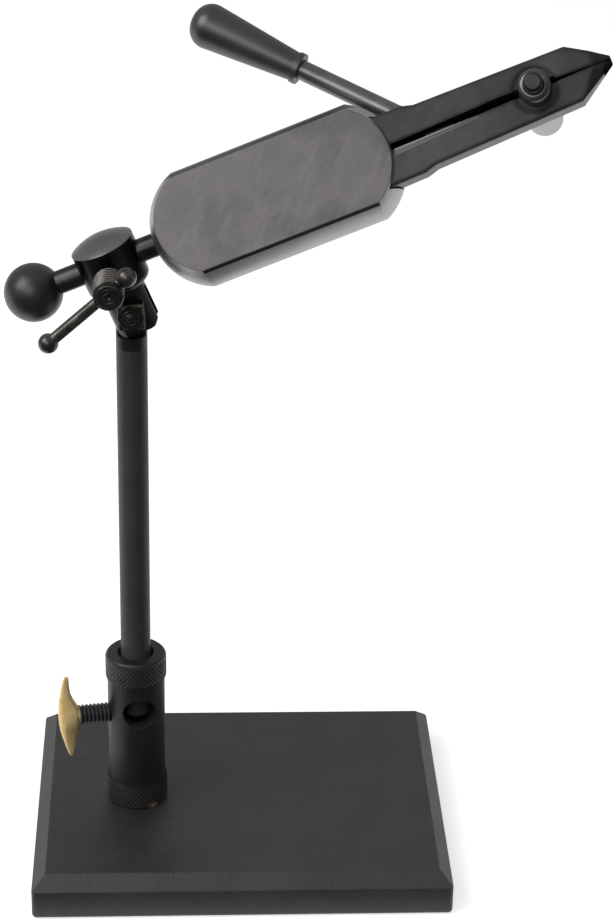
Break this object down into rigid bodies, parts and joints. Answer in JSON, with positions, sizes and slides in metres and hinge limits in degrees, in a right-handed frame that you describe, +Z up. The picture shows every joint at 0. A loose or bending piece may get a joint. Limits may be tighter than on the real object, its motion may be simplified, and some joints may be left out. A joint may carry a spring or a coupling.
{
  "type": "fly tying vise",
  "caption": "Pedestal vise for tying fishing flies: a heavy base, a stem with a tilting knuckle, and a rotary head whose lever closes two slim jaws on a hook.",
  "frame": {"origin": "centre of the base plate's underside", "axes": "+Z up along the stem, +X the way the jaws point, -Y towards the person tying"},
  "size_m": [0.1767, 0.1016, 0.2716],
  "materials": {
    "base_paint": "satin black paint with a fine texture",
    "black_steel": "matte black oxide",
    "brass": "worn satin brass",
    "collar_steel": "dark bead blasted steel",
    "tool_steel": "plain turned steel",
    "shaft_steel": "ground bright steel",
    "body_steel": "brushed gunmetal",
    "jaw_steel": "hardened blue black steel",
    "spring_steel": "spring wire",
    "rod_black": "gloss black oxide",
    "black_plastic": "satin moulded plastic",
    "knob_alloy": "satin machined"
  },
  "bodies": {
    "base": {"base_plate": "base_paint", "base_screw": "black_steel", "stem_socket": "black_steel"},
    "thumb_screw": {"thumb_stud": "black_steel", "thumb_wing": "brass"},
    "stem": {"stem_rod": "black_steel"},
    "swivel": {"stem_tongue": "black_steel"},
    "knuckle": {"knuckle_fork": "collar_steel", "pivot_bolt": "tool_steel", "pivot_nut": "tool_steel"},
    "lock_screw": {"lock_screw": "tool_steel"},
    "tommy": {"tommy_bar": "tool_steel", "tommy_balls": "tool_steel"},
    "head": {"rotary_shaft": "shaft_steel", "ball_grip": "black_plastic", "head_body": "body_steel", "shaft_set_screw": "black_steel", "jaw_pins": "tool_steel", "jaw_bolt": "jaw_steel", "jaw_nut": "jaw_steel", "jaw_spring": "spring_steel"},
    "upper_jaw": {"upper_jaw": "jaw_steel"},
    "lower_jaw": {"lower_jaw": "jaw_steel"},
    "knob": {"jaw_knob": "knob_alloy"},
    "lever": {"cam_shaft": "tool_steel", "lever_hub": "rod_black", "hub_screw": "black_steel", "lever_rod": "rod_black", "lever_grip": "black_plastic"}
  },
  "joints": [
    {"name": "thumb_turn", "type": "hinge", "parent": "base", "child": "thumb_screw", "pos_m": [-0.0339, -0.0024, 0.0473], "axis": [-0.9848, -0.1736, 0], "continuous": true},
    {"name": "stem_slide", "type": "slide", "parent": "base", "child": "stem", "axis": [0, 0, 1], "range_m": [-0.0195, 0.002]},
    {"name": "stem_swivel", "type": "hinge", "parent": "stem", "child": "swivel", "pos_m": [-0.0339, -0.0024, 0.1894], "axis": [0, 0, 1], "continuous": true},
    {"name": "head_tilt", "type": "hinge", "parent": "swivel", "child": "knuckle", "pos_m": [-0.0339, -0.0024, 0.1894], "axis": [0, -1, 0], "range_deg": [-43, 47]},
    {"name": "lock_turn", "type": "hinge", "parent": "knuckle", "child": "lock_screw", "pos_m": [-0.03993, -0.0024, 0.20368], "axis": [0, -1, 0], "continuous": true},
    {"name": "bar_slide", "type": "slide", "parent": "lock_screw", "child": "tommy", "axis": [0.742, 0, 0.6704], "range_m": [0, 0.0169]},
    {"name": "head_turn", "type": "hinge", "parent": "knuckle", "child": "head", "pos_m": [-0.03993, -0.0024, 0.20368], "axis": [0.9212, 0, 0.3891], "continuous": true},
    {"name": "lever_swing", "type": "hinge", "parent": "head", "child": "lever", "pos_m": [0.05679, -0.0024, 0.24454], "axis": [0.2079, 0.8453, -0.4922], "range_deg": [0, 60]},
    {"name": "upper_jaw_open", "type": "hinge", "parent": "head", "child": "upper_jaw", "pos_m": [0.08434, -0.00256, 0.2559], "axis": [-0.2079, -0.8453, 0.4922], "range_deg": [0, 1]},
    {"name": "lower_jaw_open", "type": "hinge", "parent": "head", "child": "lower_jaw", "pos_m": [0.08434, -0.00256, 0.2559], "axis": [0.2079, 0.8453, -0.4922], "range_deg": [0, 1]},
    {"name": "knob_turn", "type": "hinge", "parent": "head", "child": "knob", "pos_m": [0.08434, -0.00256, 0.2559], "axis": [-0.2079, -0.8453, 0.4922], "continuous": true}
  ],
  "couplings": [
    {"joint": "upper_jaw_open", "follows": "lever_swing", "ratio": 0.016667},
    {"joint": "lower_jaw_open", "follows": "lever_swing", "ratio": 0.016667}
  ]
}
